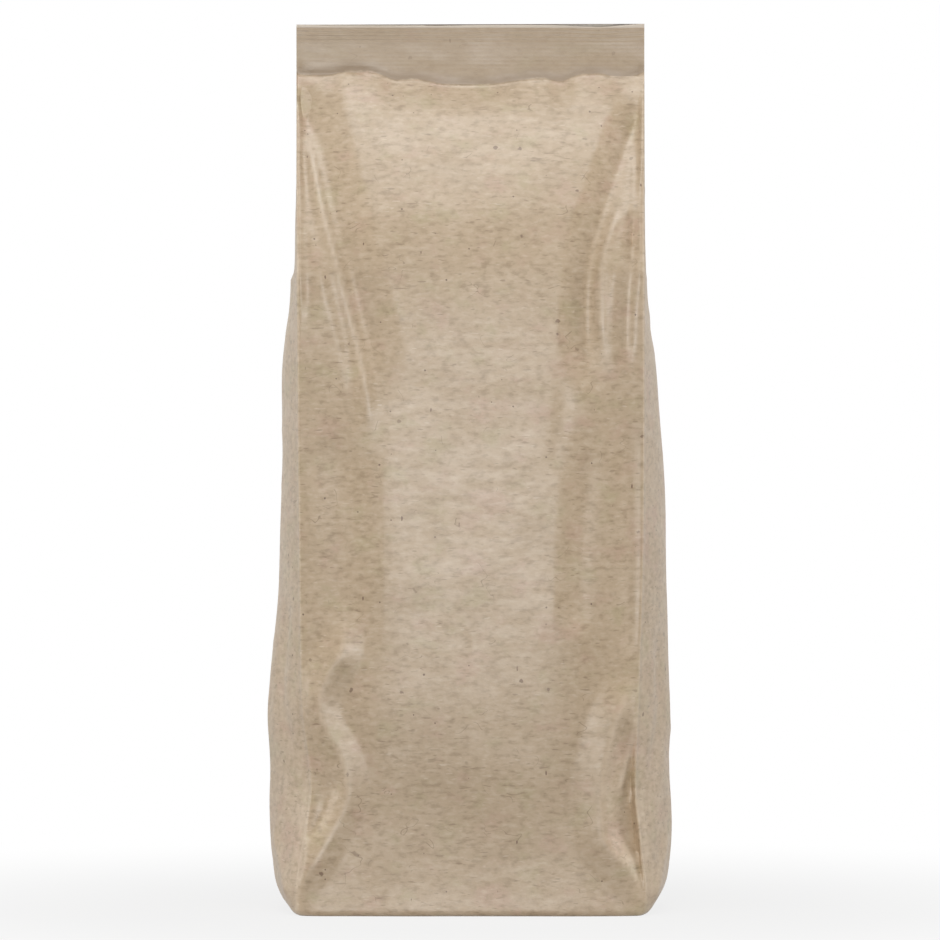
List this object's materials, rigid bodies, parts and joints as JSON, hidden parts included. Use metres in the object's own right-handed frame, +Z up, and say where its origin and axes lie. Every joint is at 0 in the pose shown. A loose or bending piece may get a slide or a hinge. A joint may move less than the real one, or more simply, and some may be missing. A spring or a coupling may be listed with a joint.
{
  "type": "coffee bag",
  "caption": "Upright side-gusseted kraft paper coffee bag, filled, with a flat base and a flat heat-sealed top.",
  "frame": {"origin": "on the flat base, below the centre of the bag's outer box", "axes": "+Z up from the base to the seal, the front panel faces -Y, +X runs along the bag's width to its right side seen from the front"},
  "size_m": [0.0932, 0.0622, 0.203],
  "materials": {
    "kraft_paper": "satin"
  },
  "bodies": {
    "root": {"bag": "kraft_paper"}
  },
  "joints": []
}
